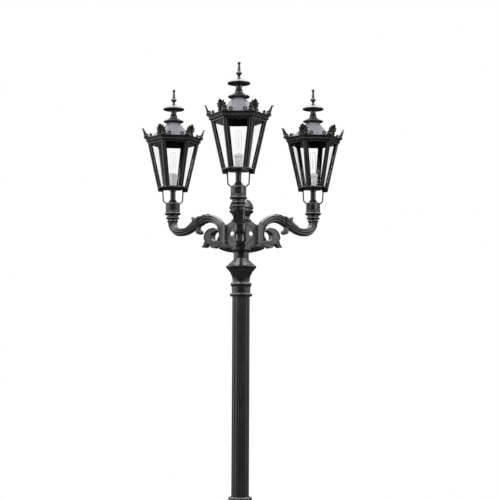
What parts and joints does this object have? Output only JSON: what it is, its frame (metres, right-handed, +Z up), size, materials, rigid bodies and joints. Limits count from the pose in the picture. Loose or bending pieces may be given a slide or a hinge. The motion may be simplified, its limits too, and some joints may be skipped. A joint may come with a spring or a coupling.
{
  "type": "triple head lamp post",
  "caption": "Fluted column on a hollow octagonal base that carries scroll arms with hexagonal glazed lanterns, each with a hinged roof, for lighting gardens and streets.",
  "frame": {"origin": "centre of the ground plate's underside, on the column's axis", "axes": "+Z up along the column, the front arm points along -Y, the other two arms at 30 degrees behind +X and -X"},
  "size_m": [1.8712, 1.6513, 4.302],
  "materials": {
    "post_paint": "semi-gloss black paint on cast iron",
    "arm_paint": "semi-gloss black paint on cast aluminium",
    "lantern_paint": "semi-gloss black paint on cast aluminium",
    "roof_paint": "glossy black paint on sheet metal",
    "door_paint": "semi-gloss black paint",
    "fastener": "painted over with the castings",
    "lock_steel": "satin",
    "terminal_plastic": "fine matt",
    "pane_glass": "clear",
    "lamp_glass": "clear",
    "holder_ceramic": "glazed ivory ceramic"
  },
  "bodies": {
    "post": {"ground_flange": "post_paint", "pedestal": "post_paint", "terminal_box": "terminal_plastic", "pedestal_cap": "post_paint", "shaft": "post_paint", "shaft_collar": "post_paint", "capital": "post_paint", "set_screws": "fastener", "neck_tube": "post_paint", "hub": "post_paint", "hub_saucer": "post_paint", "ball_finial": "post_paint", "arm_bolts": "fastener", "arm_front": "arm_paint", "arm_right": "arm_paint", "arm_left": "arm_paint", "collar_front": "lantern_paint", "stem_front": "lantern_paint", "fork_front": "lantern_paint", "floor_ring_front": "lantern_paint", "corner_bars_front": "lantern_paint", "glass_panes_front": "pane_glass", "top_rail_front": "lantern_paint", "lampholder_front": "holder_ceramic", "lamp_front": "lamp_glass", "collar_right": "lantern_paint", "stem_right": "lantern_paint", "fork_right": "lantern_paint", "floor_ring_right": "lantern_paint", "corner_bars_right": "lantern_paint", "glass_panes_right": "pane_glass", "top_rail_right": "lantern_paint", "lampholder_right": "holder_ceramic", "lamp_right": "lamp_glass", "collar_left": "lantern_paint", "stem_left": "lantern_paint", "fork_left": "lantern_paint", "floor_ring_left": "lantern_paint", "corner_bars_left": "lantern_paint", "glass_panes_left": "pane_glass", "top_rail_left": "lantern_paint", "lampholder_left": "holder_ceramic", "lamp_left": "lamp_glass"},
    "lid_front": {"cornice_front": "lantern_paint", "crown_palmettes_front": "lantern_paint", "roof_front": "roof_paint", "ventilator_front": "lantern_paint", "finial_front": "lantern_paint"},
    "lid_right": {"cornice_right": "lantern_paint", "crown_palmettes_right": "lantern_paint", "roof_right": "roof_paint", "ventilator_right": "lantern_paint", "finial_right": "lantern_paint"},
    "lid_left": {"cornice_left": "lantern_paint", "crown_palmettes_left": "lantern_paint", "roof_left": "roof_paint", "ventilator_left": "lantern_paint", "finial_left": "lantern_paint"},
    "door": {"access_door": "door_paint"},
    "lock": {"door_lock": "lock_steel"}
  },
  "joints": [
    {"name": "lid_hinge_front", "type": "hinge", "parent": "post", "child": "lid_front", "pos_m": [0, -0.494, 3.81], "axis": [-1, 0, 0], "range_deg": [0, 75]},
    {"name": "lid_hinge_right", "type": "hinge", "parent": "post", "child": "lid_right", "pos_m": [0.59814, 0.61226, 3.81], "axis": [-0.9848, -0.1736, 0], "range_deg": [0, 75]},
    {"name": "lid_hinge_left", "type": "hinge", "parent": "post", "child": "lid_left", "pos_m": [-0.68358, 0.61226, 3.81], "axis": [-0.9848, -0.1736, 0], "range_deg": [0, 75]},
    {"name": "door_hinge", "type": "hinge", "parent": "post", "child": "door", "pos_m": [-0.046, -0.1365, 0.32], "axis": [0, 0, -1], "range_deg": [0, 110]},
    {"name": "door_lock_turn", "type": "hinge", "parent": "door", "child": "lock", "pos_m": [0.028, -0.131, 0.32], "axis": [0, 1, 0], "range_deg": [0, 90]}
  ]
}
